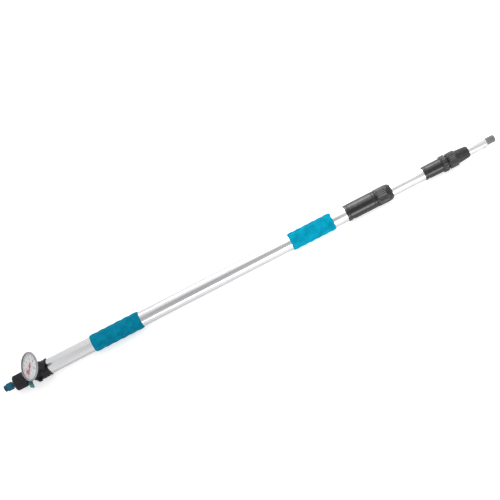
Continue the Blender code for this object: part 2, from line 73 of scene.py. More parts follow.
POLE_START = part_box("hose_plug")[0].x
AXIS_Z = middle("outer_tube").z
POLE = Matrix.Translation((POLE_START, 0.0, AXIS_Z))


def span(node):
    """Start and end of a node along the pole, in mm from the hose end."""
    low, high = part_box(node)
    return (low.x - POLE_START) / MM, (high.x - POLE_START) / MM


def station(node):
    """Middle of a node along the pole, in mm from the hose end."""
    return (middle(node).x - POLE_START) / MM


def outer_radius(node):
    """True radius in mm of a node turned about the pole's axis."""
    low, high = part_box(node)
    return (high.y - low.y) / 2 / MM / math.cos(math.pi / CAD_SIDES)


def across(along, side=-1):
    """Local X points out of the pole's side: -Y for side -1, +Y for side 1."""
    return (POLE @ Matrix.Translation((along * MM, 0.0, 0.0))
            @ Matrix.Rotation(side * math.pi / 2, 4, "Z"))


def gauge_place():
    """Local X runs from the gauge's front into its case, Y across, Z up its face."""
    joint = next(j for j in frame["joints"] if j["name"] == "gauge_needle")
    inwards = Vector(joint["axis"]).normalized()
    sideways = Vector((0.0, 1.0, 0.0))
    upwards = inwards.cross(sideways)
    turn = Matrix((inwards, sideways, upwards)).transposed().to_4x4()
    return Matrix.Translation(joint["pos_m"]) @ turn


GAUGE = gauge_place()
KNOB_PLACE = station("valve_knob")
DRAIN_PLACE = station("drain_plug")
SOCKET_SCREWS = station("tube_screw_near")
LOWER_RIVETS = station("lower_rivet_near")
UPPER_RIVETS = station("upper_rivet_near")
FITTING_RIVETS = station("fitting_rivet_near")

# ---------------------------------------------------------------- materials


class Shader:
    """A Principled material with a few helpers for its procedural nodes."""

    def __init__(self, name, colour, roughness, metallic=0.0, **sockets):
        self.material = bpy.data.materials.new(name)
        self.material.use_nodes = True
        self.tree = self.material.node_tree
        self.bsdf = self.tree.nodes["Principled BSDF"]
        self.colour = (*colour, 1.0)
        self.set("Base Color", self.colour)
        self.set("Roughness", roughness)
        self.set("Metallic", metallic)
        for socket, value in sockets.items():
            self.set(socket.replace("_", " "), value)

    def set(self, socket, value):
        """Give one of the shader's own sockets a value."""
        self.bsdf.inputs[socket].default_value = value

    def node(self, kind, **inputs):
        """Add a node and set its inputs, whose spaces are written as underscores."""
        made = self.tree.nodes.new(kind)
        for socket, value in inputs.items():
            made.inputs[socket.replace("_", " ")].default_value = value
        return made

    def link(self, source, target):
        self.tree.links.new(source, target)

    def noise(self, scale, stretch=(1.0, 1.0, 1.0), detail=3.0):
        """Noise in object space, whose cells are scale per metre."""
        place = self.node("ShaderNodeTexCoord")
        mapping = self.node("ShaderNodeMapping")
        mapping.inputs["Scale"].default_value = stretch
        texture = self.node("ShaderNodeTexNoise", Scale=scale, Detail=detail)
        self.link(place.outputs["Object"], mapping.inputs["Vector"])
        self.link(mapping.outputs["Vector"], texture.inputs["Vector"])
        return texture.outputs["Fac"]

    def ramp(self, source, low, high, low_value, high_value):
        """Map a factor between two limits to a number between two values."""
        node = self.node("ShaderNodeMapRange")
        node.inputs["From Min"].default_value = low
        node.inputs["From Max"].default_value = high
        node.inputs["To Min"].default_value = low_value
        node.inputs["To Max"].default_value = high_value
        self.link(source, node.inputs["Value"])
        return node.outputs["Result"]

    def mottle(self, source, amount, low=0.35, high=0.65):
        """Vary the base colour between a darker and a lighter shade of itself."""
        mix = self.node("ShaderNodeMix")
        mix.data_type = "RGBA"
        dark, light = mix.inputs[6], mix.inputs[7]
        dark.default_value = (*(c * (1 - amount) for c in self.colour[:3]), 1.0)
        light.default_value = (*(min(1.0, c * (1 + amount)) for c in self.colour[:3]), 1.0)
        self.link(self.ramp(source, low, high, 0.0, 1.0), mix.inputs[0])
        self.link(mix.outputs[2], self.bsdf.inputs["Base Color"])

    def vary_roughness(self, source, low_value, high_value):
        """Let a factor move the roughness between two values."""
        self.link(self.ramp(source, 0.3, 0.7, low_value, high_value),
                  self.bsdf.inputs["Roughness"])

    def bump(self, source, height, strength=0.5):
        """Relief of a height in mm."""
        node = self.node("ShaderNodeBump", Strength=strength, Distance=height * MM)
        self.link(source, node.inputs["Height"])
        last = self.bsdf.inputs["Normal"]
        if last.is_linked:
            self.link(last.links[0].from_socket, node.inputs["Normal"])
        self.link(node.outputs["Normal"], last)


def plastic(name, colour, roughness, texture=0.03, grain=2600.0, shine=0.5):
    """Moulded plastic: fine spark-eroded grain, faint mottling and handling marks."""
    shader = Shader(name, colour, roughness, Specular_IOR_Level=shine)
    shader.mottle(shader.noise(55.0, detail=5.0), 0.10)
    shader.vary_roughness(shader.noise(140.0, detail=6.0), roughness - 0.06, roughness + 0.08)
    shader.bump(shader.noise(grain), texture)
    return shader.material


def foam(name, colour):
    """Closed-cell foam: matt skin with small pores and soft mottling."""
    shader = Shader(name, colour, 0.82, Specular_IOR_Level=0.06)
    shader.mottle(shader.noise(70.0, detail=6.0), 0.18)
    shader.vary_roughness(shader.noise(300.0), 0.74, 0.92)
    shader.bump(shader.noise(420.0, detail=2.0), 0.10)
    shader.bump(shader.noise(1800.0, detail=2.0), 0.05)
    return shader.material


def drawn_aluminium(name):
    """Satin anodised tube with fine drawing lines along its length."""
    shader = Shader(name, (0.735, 0.738, 0.750), 0.16, metallic=1.0)
    lines = shader.noise(1.0, stretch=(4.0, 1500.0, 1500.0), detail=2.0)
    shader.mottle(lines, 0.05)
    shader.vary_roughness(shader.noise(1.0, stretch=(9.0, 420.0, 420.0)), 0.12, 0.21)
    shader.bump(lines, 0.006, strength=0.35)
    return shader.material


def machined(name, colour, roughness):
    """Turned metal with faint lathe marks."""
    shader = Shader(name, colour, roughness, metallic=1.0)
    marks = shader.noise(900.0, detail=4.0)
    shader.mottle(marks, 0.10)
    shader.vary_roughness(marks, roughness - 0.05, roughness + 0.10)
    shader.bump(shader.noise(2400.0), 0.008, strength=0.3)
    return shader.material


def rubber(name):
    """Black rubber with faint mottling."""
    shader = Shader(name, (0.022, 0.022, 0.023), 0.62)
    shader.mottle(shader.noise(260.0), 0.18)
    shader.bump(shader.noise(1500.0), 0.02)
    return shader.material


def enamel(name, colour, roughness):
    """Painted metal with a slight orange peel."""
    shader = Shader(name, colour, roughness, Coat_Weight=0.3, Coat_Roughness=0.15)
    shader.mottle(shader.noise(120.0), 0.04)
    shader.bump(shader.noise(700.0), 0.01, strength=0.3)
    return shader.material


def clear_lens(name):
    """Clear plastic with slight smears."""
    shader = Shader(name, (0.99, 0.99, 1.0), 0.03, Transmission_Weight=1.0, IOR=1.46)
    shader.vary_roughness(shader.noise(90.0), 0.02, 0.06)
    return shader.material


MATERIALS = {
    "aluminium_tube": drawn_aluminium("aluminium_tube"),
    "black_plastic": plastic("black_plastic", (0.008, 0.0075, 0.010), 0.42,
                             texture=0.05, shine=0.24),
    "clamp_plastic": plastic("clamp_plastic", (0.003, 0.003, 0.005), 0.22, shine=0.58),
    "teal_plastic": plastic("teal_plastic", (0.001, 0.078, 0.138), 0.30,
                            texture=0.01, shine=0.25),
    "knob_plastic": plastic("knob_plastic", (0.020, 0.165, 0.170), 0.33,
                            texture=0.01, shine=0.35),
    "white_plastic": plastic("white_plastic", (0.80, 0.79, 0.75), 0.42),
    "fitting_plastic": plastic("fitting_plastic", (0.145, 0.145, 0.150), 0.42),
    # The lower grip's foam is the upper grip's teal made darker: that darkening is painted
    # shade.
    "lower_foam_painted_shade": foam("lower_foam_painted_shade", (0.0, 0.150, 0.240)),
    "upper_foam": foam("upper_foam", (0.0, 0.265, 0.400)),
    "rubber": rubber("rubber"),
    "brass": machined("brass", (0.71, 0.52, 0.25), 0.30),
    "steel": machined("steel", (0.62, 0.62, 0.64), 0.27),
    "gauge_metal": enamel("gauge_metal", (0.23, 0.235, 0.25), 0.32),
    "gauge_face": enamel("gauge_face", (0.93, 0.925, 0.93), 0.45),
    "gauge_print": enamel("gauge_print", (0.04, 0.04, 0.05), 0.50),
    "gauge_band": enamel("gauge_band", (0.50, 0.51, 0.52), 0.50),
    "pointer_red": enamel("pointer_red", (0.58, 0.030, 0.030), 0.38),
    "gauge_lens": clear_lens("gauge_lens"),
}

# ---------------------------------------------------------------- mesh helpers


def rounded(outline, radius, steps=4):
    """Round the corners of a closed outline with short curves."""
    result = []
    count = len(outline)
    for i, corner in enumerate(outline):
        here = Vector(corner)
        before = Vector(outline[i - 1]) - here
        after = Vector(outline[(i + 1) % count]) - here
        cut = min(radius, before.length * 0.45, after.length * 0.45)
        if corner[1] == 0.0 or cut < 0.02:
            result.append(corner)
            continue
        first = here + before.normalized() * cut
        last = here + after.normalized() * cut
        for step in range(steps + 1):
            t = step / steps
            point = first * (1 - t) ** 2 + here * 2 * t * (1 - t) + last * t ** 2
            result.append((point.x, point.y))
    return result


def add_to_scene(piece):
    """Link an object to the scene's collection."""
    bpy.context.scene.collection.objects.link(piece)
    return piece


def evaluated_mesh(piece):
    """A new mesh of what a piece looks like with its modifiers applied."""
    bpy.context.view_layer.update()
    graph = bpy.context.evaluated_depsgraph_get()
    return bpy.data.meshes.new_from_object(piece.evaluated_get(graph))


def smooth(mesh):
    """Shade a mesh smooth, apart from its sharp edges."""
    mesh.shade_smooth()
    mesh.set_sharp_from_angle(angle=SHARP_ANGLE)


def finished(name, mesh_data, material, place):
    """Turn a bmesh into a shaded object and move it to its place."""
    bmesh.ops.remove_doubles(mesh_data, verts=mesh_data.verts, dist=1e-7)
    bmesh.ops.recalc_face_normals(mesh_data, faces=mesh_data.faces)
    mesh = bpy.data.meshes.new(name)
    mesh_data.to_mesh(mesh)
    mesh_data.free()
    mesh.transform(place)
    smooth(mesh)
    mesh.materials.append(MATERIALS[material])
    return add_to_scene(bpy.data.objects.new(name, mesh))


def lathe(name, outline, material, place=POLE, sides=ROUND, relief=None):
    """Turn a closed (along, radius) outline about local X.

    relief(along, radius, angle) gives the radius of a point, for ribs and waves.
    """
    mesh_data = bmesh.new()
    rows = []
    for side in range(sides):
        angle = math.pi / 2 + side * (2 * math.pi) / sides
        row = []
        for along, radius in outline:
            reach = relief(along, radius, angle) if relief and radius else radius
            point = (along, reach * math.sin(angle), -reach * math.cos(angle))
            row.append(mesh_data.verts.new(Vector(point) * MM))
        rows.append(row)
    count = len(outline)
    for side in range(sides):
        here, there = rows[side], rows[(side + 1) % sides]
        for i in range(count):
            j = (i + 1) % count
            if outline[i][1] or outline[j][1]:
                mesh_data.faces.new((here[i], here[j], there[j], there[i]))
    return finished(name, mesh_data, material, place)


def prism(name, outline, low, high, material, place=POLE, edge=0.0, segments=3):
    """Extrude a (y, z) outline along local X and round its edges."""
    mesh_data = bmesh.new()
    bottom = [mesh_data.verts.new(Vector((low, y, z)) * MM) for y, z in outline]
    face = mesh_data.faces.new(bottom)
    made = bmesh.ops.extrude_face_region(mesh_data, geom=[face])
    moved = [item for item in made["geom"] if isinstance(item, bmesh.types.BMVert)]
    bmesh.ops.translate(mesh_data, verts=moved, vec=((high - low) * MM, 0.0, 0.0))
    if edge:
        bmesh.ops.recalc_face_normals(mesh_data, faces=mesh_data.faces)
        ends = [e for e in mesh_data.edges if e.calc_face_angle(0.0) > math.radians(50.0)]
        bmesh.ops.bevel(mesh_data, geom=ends, offset=edge * MM, segments=segments,
                        profile=0.5, affect="EDGES", clamp_overlap=True)
    return finished(name, mesh_data, material, place)


def circle(radius, count=48, centre=(0.0, 0.0)):
    """Points of a circle, as a prism's outline."""
    return [(centre[0] + radius * math.cos(2 * math.pi * i / count),
             centre[1] + radius * math.sin(2 * math.pi * i / count))
            for i in range(count)]


def rectangle(half_width, low, high):
    """Corners of a rectangle that is centred on the Z axis, as a prism's outline."""
    return [(-half_width, low), (half_width, low), (half_width, high), (-half_width, high)]


def solid_rod(name, low, high, radius, place, fillet=0.0):
    """Plain round that is joined to a moulding or cut from it."""
    outline = [(low, 0.0), (low, radius), (high, radius), (high, 0.0)]
    if fillet:
        outline = rounded(outline, fillet)
    return lathe(name, outline, "black_plastic", place, sides=48)


def rivet_holes(prefix, along, low, high):
    """A pair of cutters for the rivets on both sides of the pole."""
    return [solid_rod(f"{prefix}_hole_{side}", low, high, RIVET_HOLE, across(along, side))
            for side in (-1, 1)]


def sculpt(piece, joins=(), cuts=()):
    """Join pieces to a piece and cut others from it, then apply the result."""
    for operation, tools in (("UNION", joins), ("DIFFERENCE", cuts)):
        for tool in tools:
            modifier = piece.modifiers.new(tool.name, "BOOLEAN")
            modifier.operation = operation
            modifier.object = tool
    mesh = evaluated_mesh(piece)
    mesh_data = bmesh.new()
    mesh_data.from_mesh(mesh)
    bmesh.ops.remove_doubles(mesh_data, verts=mesh_data.verts, dist=WELD)
    bmesh.ops.dissolve_degenerate(mesh_data, edges=mesh_data.edges, dist=1e-6)
    mesh_data.to_mesh(mesh)
    mesh_data.free()
    smooth(mesh)
    piece.modifiers.clear()
    piece.data = mesh
    for tool in (*joins, *cuts):
        bpy.data.objects.remove(tool)
    return piece


def place_on(piece, body, *nodes):
    """The piece rides on a body and stands for the CAD nodes named."""
    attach(piece, body)
    if nodes:
        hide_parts(*nodes)
    return piece


def fade_in(along, low, high, run):
    """From 0 outside two places to 1 between them, over a run inside each."""
    return max(0.0, min(1.0, (along - low) / run, (high - along) / run))


def ribs(count, depth, low, high, least, sharpness):
    """Relief of lengthwise ribs between two places, on the skin beyond a radius."""
    def relief(along, radius, angle):
        if radius < least:
            return radius
        groove = (0.5 - 0.5 * math.cos(count * angle)) ** sharpness
        return radius - depth * groove * fade_in(along, low, high, 1.5)
    return relief


def densify(outline, low, high, pitch):
    """Add points along the straight runs that lie between two places."""
    result = []
    for i, (along, radius) in enumerate(outline):
        next_along, next_radius = outline[(i + 1) % len(outline)]
        result.append((along, radius))
        run = abs(next_along - along)
        inside = low <= min(along, next_along) and max(along, next_along) <= high
        pieces = int(run / pitch) if inside else 0
        for step in range(1, pieces):
            t = step / pieces
            result.append((along + (next_along - along) * t,
                           radius + (next_radius - radius) * t))
    return result


# ---------------------------------------------------------------- hose end


def build_hose_end():
    """Quick-connector plug with its O-ring, and the union nut that holds it."""
    end = span("hose_plug")[1]
    collar_start, collar_end, flats = 8.5, 19.0, 6
    outline = [
        (0.0, 4.5), (0.0, 6.7), (0.9, 7.5), (2.6, 7.5), (2.6, 6.0), (5.2, 6.0),
        (5.2, 7.5), (7.0, 7.5), (7.0, 9.0), (7.8, 9.5), (19.2, 9.5), (20.0, 9.0),
        (20.0, 6.75), (end - 4.0, 6.75), (end - 4.0, 13.0), (end, 13.0), (end, 4.5),
    ]

    def grip_flats(along, radius, angle):
        """Shallow flutes round the collar that fingers hold."""
        if radius < 8.9 or not collar_start < along < collar_end:
            return radius
        return radius - 0.35 * (0.5 + 0.5 * math.cos(flats * angle))

    dense = densify(rounded(outline, 0.5), 7.0, 20.0, 1.2)
    place_on(lathe("plug", dense, "teal_plastic", relief=grip_flats), "outer_pole",
             "hose_plug")
    seal = circle(0.95, 16, (3.9, 6.75))
    place_on(lathe("plug_seal", seal, "rubber"), "outer_pole", "plug_o_ring")

    start, end = span("union_nut")
    nut = [
        (start, 7.2), (start, 15.4), (start + 1.2, 16.4), (start + 2.4, 17.9),
        (end - 3.0, 17.9), (end - 2.2, 17.2), (end, 16.9), (end, 13.5),
        (start + 3.4, 13.5), (start + 3.4, 7.2),
    ]
    outline = densify(rounded(nut, 0.5), start + 2.0, end, 1.2)
    grooves = ribs(28, 1.0, start + 2.0, end - 3.0, 17.0, sharpness=0.8)
    place_on(lathe("nut", outline, "black_plastic", sides=FINE + 40, relief=grooves),
             "outer_pole", "union_nut")


# ---------------------------------------------------------------- valve housing


def build_housing():
    """Moulded housing: thread spigot, valve chamber, socket, foot and gauge boss."""
    foot = AXIS_Z / MM
    slot_low, slot_high = 15.6, 17.8           # the tube's wall stands between these radii
    block_start, block_end = 73.5, 92.0
    waist_start, waist_end = 97.8, 106.0
    flutes, upright_ribs = 10, 18
    outline = rounded([
        (36.0, 0.0), (36.0, 12.6), (36.8, 13.2), (54.0, 13.2), (54.0, 12.0),
        (69.8, 12.0), (72.0, 15.0), (92.6, 17.8), (93.2, 20.4), (96.8, 20.4),
        (97.4, 18.9), (106.4, 18.9), (107.4, 20.4), (112.4, 20.4), (113.0, 20.0),
        (113.0, slot_high), (100.0, slot_high), (100.0, slot_low), (138.0, slot_low),
        (138.0, 0.0),
    ], 0.7)
    outline = densify(outline, 71.0, 114.0, 0.8)

    def relief(along, radius, angle):
        """Flutes on the block and upright ribs on the waist."""
        if block_start < along < block_end and radius > 14.0:
            fade = fade_in(along, block_start, block_end, 2.0)
            return radius - 0.9 * fade * max(0.0, math.cos(flutes * angle)) ** 0.7
        if waist_start < along < waist_end and radius > 18.0:
            fade = fade_in(along, waist_start, waist_end, 0.8)
            return radius + fade * max(0.0, math.cos(upright_ribs * angle)) ** 3
        return radius

    housing = lathe("housing", outline, "black_plastic", sides=144, relief=relief)
    # The collar's rim is scalloped: it stands back at the top and the bottom.
    for vert in housing.data.vertices:
        along = (vert.co.x - POLE_START) / MM
        height = (vert.co.z - AXIS_Z) / MM
        reach = math.hypot(vert.co.y / MM, height)
        if 111.5 < along < 114.0 and reach > slot_high - 0.1:
            vert.co.x -= 4.0 * MM * (height / reach) ** 4

    foot_block = prism("foot_block", rectangle(13.0, -foot, -9.0), 72.5, 99.6,
                       "black_plastic", edge=1.4)
    foot_toe = prism("foot_toe", rectangle(8.0, -foot, -slot_high - 0.4), 96.0, 107.0,
                     "black_plastic", edge=0.5)
    boss_pillar = prism("boss_pillar", rectangle(7.0, 9.0, 30.0), 86.0, 99.6,
                        "black_plastic", edge=1.2)
    gauge_boss = solid_rod("gauge_boss", 19.3, 36.0, 9.0, GAUGE, fillet=0.9)
    knob_pad = solid_rod("knob_pad", 3.0, 12.1, 7.0, across(KNOB_PLACE), fillet=0.5)
    drain_boss = solid_rod("drain_boss", 9.0, 17.9, 6.6, across(DRAIN_PLACE), fillet=0.5)

    chamber_start, chamber_end, past_end = 30.0, 69.5, 145.0
    waterway = lathe("waterway", [
        (chamber_start, 0.0), (chamber_start, CHAMBER_RADIUS), (chamber_end, CHAMBER_RADIUS),
        (chamber_end, WATERWAY_RADIUS), (past_end, WATERWAY_RADIUS), (past_end, 0.0)],
        "black_plastic", sides=64)
    stem_hole = solid_rod("stem_hole", 18.0, 29.6, 5.0, GAUGE)
    spindle_hole = solid_rod("spindle_hole", 7.0, 16.0, 3.6, across(KNOB_PLACE))
    drain_hole = solid_rod("drain_hole", 5.0, 20.0, 3.9, across(DRAIN_PLACE))
    screw_holes = rivet_holes("screw", SOCKET_SCREWS, 13.0, 24.0)
    sculpt(housing, joins=(foot_block, foot_toe, boss_pillar, gauge_boss, knob_pad,
                           drain_boss),
           cuts=(waterway, stem_hole, spindle_hole, drain_hole, *screw_holes))
    place_on(housing, "outer_pole", "valve_housing")


def build_tube_screws():
    """The two screws that hold the outer tube in the housing's socket."""
    seat, radius, tip = 20.6, 2.6, 13.3
    for side, label in ((-1, "near"), (1, "far")):
        screw_head(f"socket_screw_{label}", across(SOCKET_SCREWS, side), seat, radius, tip,
                   "outer_pole", f"tube_screw_{label}")


def build_drain_plug():
    """Hexagon plug that closes the housing's drain port."""
    place = across(DRAIN_PLACE)
    head = prism("drain_stopper", circle(5.4, 6), 18.2, 22.4, "black_plastic", place,
                 edge=0.6)
    dimple = solid_rod("drain_dimple", 21.6, 23.0, 2.6, place)
    thread = solid_rod("drain_thread", 9.5, 18.6, 3.5, place, fillet=0.4)
    sculpt(head, joins=(thread,), cuts=(dimple,))
    place_on(head, "outer_pole", "drain_plug")


def build_knob():
    """Wing knob on the valve's spindle, with its screw."""
    place = across(KNOB_PLACE)
    hub = lathe("knob", rounded([
        (12.5, 2.95), (12.5, 4.7), (24.3, 4.7), (25.3, 4.1), (25.3, 3.2), (22.6, 3.2),
        (22.6, 1.55), (18.5, 1.55), (18.5, 2.95)], 0.5), "knob_plastic", place, sides=72)
    wings = []
    for side in (-1, 1):
        outline = [(-3.3, side * 4.0), (3.3, side * 4.0), (2.3, side * 12.0),
                   (-2.3, side * 12.0)]
        wings.append(prism(f"wing_{side}", outline, 18.7, 24.7, "knob_plastic", place,
                           edge=0.9))
    sculpt(hub, joins=wings)
    place_on(hub, "valve", "valve_knob")
    seat, radius, tip = 22.9, 2.75, 13.8
    screw_head("knob_fastener", place, seat, radius, tip, "valve", "knob_screw")


def screw_head(name, place, seat, radius, tip, body, node):
    """Round-headed screw with a cross recess: its head sits at seat, it ends at tip."""
    top = seat + 1.6
    screw = lathe(name, rounded([
        (tip, 0.0), (tip, 1.15), (seat, 1.15), (seat, radius), (top - 0.6, radius),
        (top, radius * 0.6), (top, 0.0)], 0.3), "steel", place, sides=48)
    arm, half_width = radius * 0.62, 0.28
    slots = []
    for turn, (wide, tall) in enumerate(((half_width, arm), (arm, half_width))):
        slots.append(prism(f"{name}_slot_{turn}", rectangle(wide, -tall, tall), top - 0.7,
                           top + 1.0, "steel", place))
    sculpt(screw, cuts=slots)
    place_on(screw, body, node)


# ---------------------------------------------------------------- gauge


def clock(angle, radius):
    """(y, z) of a point on the gauge's face: clockwise degrees from its top, +Y."""
    turn = math.radians(angle)
    return radius * math.cos(turn), radius * math.sin(turn)


SCALE_START, SCALE_SWEEP = 225.0, 270.0    # clock angle of 0, and from there to 10
SCALE_STEPS, STEPS_PER_MAJOR = 50, 5
MAJOR_TICK, MINOR_TICK = (20.8, 1.15), (23.8, 0.55)    # inner radius, half angle
TICK_OUTER = 26.6
NUMBER_RADIUS, NUMBER_SIZE = 16.4, 6.2
FACE_FRONT = 3.45                          # behind the bezel's front


def sector_outline(first, last, inner, outer, step=3.0):
    """Outline of a band of the face between two clock angles."""
    count = max(2, int((last - first) / step))
    angles = [first + (last - first) * i / count for i in range(count + 1)]
    return ([clock(a, outer) for a in angles] + [clock(a, inner) for a in reversed(angles)])


def printed(piece):
    """A printed mark rides with the face."""
    place_on(piece, "outer_pole")


def gauge_mark(name, outline, material, lift=0.06):
    """A mark that lies a hair proud of the face."""
    return prism(name, outline, FACE_FRONT - lift, FACE_FRONT - 0.005, material, GAUGE)


def join_pieces(pieces, name):
    """Make one object of several that never move apart."""
    mesh_data = bmesh.new()
    for piece in pieces:
        mesh_data.from_mesh(piece.data)
    joined = finished(name, mesh_data, pieces[0].data.materials[0].name, Matrix.Identity(4))
    for piece in pieces:
        bpy.data.objects.remove(piece)
    return joined


def build_scale():
    """Ticks, numbers and bands of the face, as thin printed layers."""
    ticks = []
    for i in range(SCALE_STEPS + 1):
        angle = SCALE_START + SCALE_SWEEP * i / SCALE_STEPS
        inner, half = MINOR_TICK if i % STEPS_PER_MAJOR else MAJOR_TICK
        outline = sector_outline(angle - half, angle + half, inner, TICK_OUTER)
        ticks.append(gauge_mark(f"tick_{i}", outline, "gauge_print"))
    printed(join_pieces(ticks, "scale_ticks"))

    digits = []
    for value in range(0, 11, 2):
        angle = SCALE_START + SCALE_SWEEP * value / 10
        digits.append(number(str(value), clock(angle, NUMBER_RADIUS)))
    printed(join_pieces(digits, "scale_numbers"))

    printed(gauge_mark("working_band", sector_outline(300.0, 420.0, 27.2, 28.6),
                       "gauge_band"))
    printed(gauge_mark("centre_ring", sector_outline(0.0, 359.9, 9.4, 10.2), "gauge_band"))
    printed(gauge_mark("low_band", sector_outline(225.0, 266.0, 10.8, 20.4),
                       "pointer_red", 0.03))


def number(text, centre):
    """A numeral as a flat mesh that reads upright with +Y as the face's top."""
    curve = bpy.data.curves.new(f"number_{text}", "FONT")
    curve.body = text
    curve.size = NUMBER_SIZE * MM
    curve.align_x = "CENTER"
    curve.align_y = "CENTER"
    curve.extrude = 0.025 * MM
    curve.offset = 0.15 * MM
    curve.resolution_u = 4
    writing = add_to_scene(bpy.data.objects.new(f"number_{text}", curve))
    mesh = evaluated_mesh(writing)
    bpy.data.objects.remove(writing)
    # The font's right is the face's +Z, its top is +Y, and it looks out along -X.
    turn = Matrix(((0.0, 0.0, -1.0), (0.0, 1.0, 0.0), (1.0, 0.0, 0.0))).to_4x4()
    shift = Matrix.Translation(Vector((FACE_FRONT - 0.035, *centre)) * MM)
    mesh.transform(GAUGE @ shift @ turn)
    mesh.materials.clear()
    mesh.materials.append(MATERIALS["gauge_print"])
    return add_to_scene(bpy.data.objects.new(f"number_{text}", mesh))


def build_gauge():
    """Bezel, lens, face, case, stem and pointer."""
    rim = 32.6
    bezel = [(0.0, 29.4), (0.0, 31.6), (0.8, rim), (3.2, rim), (3.2, 32.0), (0.95, 32.0),
             (0.95, 29.4)]
    place_on(lathe("bezel", rounded(bezel, 0.35), "gauge_metal", GAUGE, sides=128),
             "outer_pole", "gauge_bezel")
    lens = [(1.25, 0.0), (1.25, 31.5), (2.0, 31.5), (2.0, 0.0)]
    place_on(lathe("lens", lens, "gauge_lens", GAUGE, sides=128), "outer_pole",
             "gauge_lens")
    case = [
        (2.3, 30.5), (2.3, 31.7), (4.2, 31.3), (5.2, 29.4), (9.6, 20.8), (10.6, 18.6),
        (10.9, 11.0), (11.6, 10.0), (15.0, 9.4), (15.0, 3.4), (8.8, 3.4), (8.8, 19.0),
        (4.4, 28.6), (4.2, 30.5),
    ]
    place_on(lathe("case", rounded(case, 0.5), "gauge_metal", GAUGE, sides=128),
             "outer_pole", "gauge_case")
    face = [(FACE_FRONT, 1.6), (FACE_FRONT, 30.1), (3.9, 30.1), (3.9, 1.6)]
    place_on(lathe("face", face, "gauge_face", GAUGE, sides=128), "outer_pole",
             "gauge_face")
    build_scale()

    nut = prism("stem", circle(6.5, 6), 15.3, 18.9, "brass", GAUGE, edge=0.4, segments=2)
    thread = [(9.0, 0.0), (9.0, 3.0), (16.0, 3.0), (16.0, 4.5)]
    turns, pitch, thread_start = 7, 1.3, 19.2
    for turn in range(turns):
        low = thread_start + turn * pitch
        thread += [(low, 4.2), (low + pitch / 2, 4.7)]
    thread += [(28.8, 4.1), (28.8, 0.0)]
    shank = lathe("stem_shank", thread, "brass", GAUGE, sides=48)
    drill = solid_rod("stem_drill", 8.0, 30.0, 1.3, GAUGE)
    sculpt(nut, joins=(shank,), cuts=(drill,))
    place_on(nut, "outer_pole", "gauge_stem")
    build_pointer()


def build_pointer():
    """Red pointer with its cap, at rest on the scale's lower stop."""
    def point(reach, aside=0.0):
        """Distance from the pivot towards the tip, and to one side of the pointer."""
        y, z = clock(SCALE_START, reach)
        side_y, side_z = clock(SCALE_START + 90.0, aside)
        return y + side_y, z + side_z

    outline = [point(-8.0, -2.4), point(-8.0, 2.4), point(17.0, 1.5), point(22.0),
               point(17.0, -1.5)]
    hand = prism("pointer", outline, 2.45, 2.95, "pointer_red", GAUGE, edge=0.12,
                 segments=2)
    dome = rounded([(2.25, 0.0), (2.25, 3.6), (3.0, 4.0), (3.0, 0.0)], 0.3)
    cap = lathe("pointer_cap", dome, "pointer_red", GAUGE, sides=48)
    sculpt(hand, joins=(cap,))
    place_on(hand, "gauge_hand", "gauge_pointer")


# ---------------------------------------------------------------- tubes and grips


def build_tube(node, wall, body, holes=()):
    """One drawn tube with softened ends and its rivet holes."""
    start, end = span(node)
    radius = outer_radius(node)
    bore = radius - wall
    outline = rounded([(start, bore), (start, radius), (end, radius), (end, bore)], 0.35)
    tube = lathe(node.replace("_tube", "_section"), densify(outline, start, end, 60.0),
                 "aluminium_tube", sides=128)
    cuts = []
    for i, along in enumerate(holes):
        cuts += rivet_holes(f"{node}_{i}", along, radius - 4.0, radius + 3.0)
    sculpt(tube, cuts=cuts)
    place_on(tube, body, node)


def build_grip(node, material):
    """Wavy foam sleeve with soft shoulders at both ends."""
    start, end = span(node)
    crest = AXIS_Z / MM - 0.02
    bore = outer_radius("outer_tube") + 0.15
    waves, depth = 6, 0.85
    drop, shoulder_run = 0.9, 1.4
    pitch = (end - start) / waves
    steps = waves * 16
    skin = []
    for step in range(steps + 1):
        along = start + (end - start) * step / steps
        wave = 0.5 - 0.5 * math.cos(2 * math.pi * (along - start) / pitch)
        from_end = min(along - start, end - along)
        shoulder = drop * math.sqrt(max(0.0, 1.0 - from_end / shoulder_run))
        skin.append((along, crest - depth * (1.0 - wave) ** 1.3 - shoulder))
    sleeve = lathe(f"{node}_foam", [(start, bore), *skin, (end, bore)],
                   material, sides=144)
    place_on(sleeve, "outer_pole", node)


# ---------------------------------------------------------------- twist clamps


def collar_mouth(end, bore, groove_radius, low, high):
    """Bore of a collar at its end, with the groove that holds the wiper ring."""
    return [(end, bore), (high, bore), (high, groove_radius), (low, groove_radius),
            (low, bore)]


